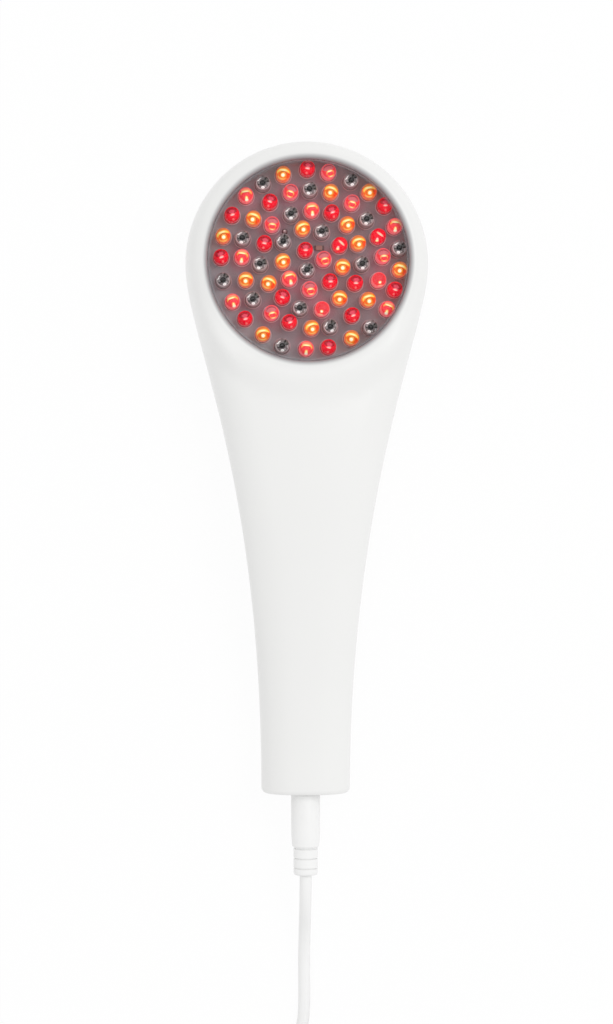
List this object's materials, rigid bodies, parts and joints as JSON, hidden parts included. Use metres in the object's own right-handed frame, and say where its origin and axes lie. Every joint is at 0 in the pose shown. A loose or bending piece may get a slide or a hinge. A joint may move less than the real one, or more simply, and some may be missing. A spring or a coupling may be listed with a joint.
{
  "type": "light therapy wand",
  "caption": "Paddle-shaped hand-held light wand with a round lens over rings of lamps, a push button on the handle's back, and a plug-in power lead with a coiled cord and wall adapter.",
  "frame": {"origin": "on the table under the middle of the wand's length, without the lead", "axes": "+Y from the handle's end to the head, +X to the right of the window, +Z out of the window"},
  "size_m": [0.0933, 0.4575, 0.04],
  "materials": {
    "white_housing": "satin white moulded plastic",
    "clear_lens": "polished clear acrylic",
    "lamp_board": "grey board with clear, red and orange lamps",
    "clear_bead": "clear bead",
    "brown_ceramic": "matt brown chip part",
    "green_board": "green solder mask",
    "black_plastic": "black moulded plastic",
    "white_nylon": "natural nylon",
    "steel": "zinc-plated steel",
    "nickel": "bright nickel plate",
    "white_cord": "soft white vinyl",
    "red_wire": "red vinyl insulation",
    "black_wire": "black vinyl insulation"
  },
  "bodies": {
    "wand": {"front_shell": "white_housing", "back_shell": "white_housing", "window_lens": "clear_lens", "light_well_ring": "white_housing", "led_board": "lamp_board", "board_resistor": "brown_ceramic", "thermistor": "clear_bead", "led_connector": "white_nylon", "control_board": "green_board", "driver_chip": "black_plastic", "choke": "black_plastic", "capacitor": "nickel", "buzzer": "black_plastic", "control_connector": "white_nylon", "control_screw_1": "steel", "control_screw_2": "steel", "housing_screw_1": "steel", "housing_screw_2": "steel", "housing_screw_3": "steel", "housing_screw_4": "steel", "tact_switch": "black_plastic", "dc_jack": "black_plastic", "jack_pin": "nickel", "lamp_wire_red": "red_wire", "lamp_wire_black": "black_wire", "jack_wire_red": "red_wire", "jack_wire_black": "black_wire"},
    "button": {"power_button": "white_housing", "switch_plunger": "black_plastic"},
    "lead": {"plug_body": "white_cord", "plug_barrel": "nickel", "plug_tip": "black_plastic", "lead_cord": "white_cord", "lead_coil": "white_cord", "lead_tail": "white_cord", "coil_tie": "black_plastic", "adapter_case": "white_housing", "adapter_plate": "white_housing", "adapter_boot": "white_cord", "adapter_blade_left": "nickel", "adapter_blade_right": "nickel"}
  },
  "joints": [
    {"name": "button_press", "type": "slide", "parent": "wand", "child": "button", "axis": [0, 0, 1], "range_m": [0, 0.0005], "stiffness_N_per_m": 1500, "springref_m": -0.0003},
    {"name": "plug_pull", "type": "slide", "parent": "wand", "child": "lead", "axis": [0, -1, 0], "range_m": [0, 0.012]}
  ]
}
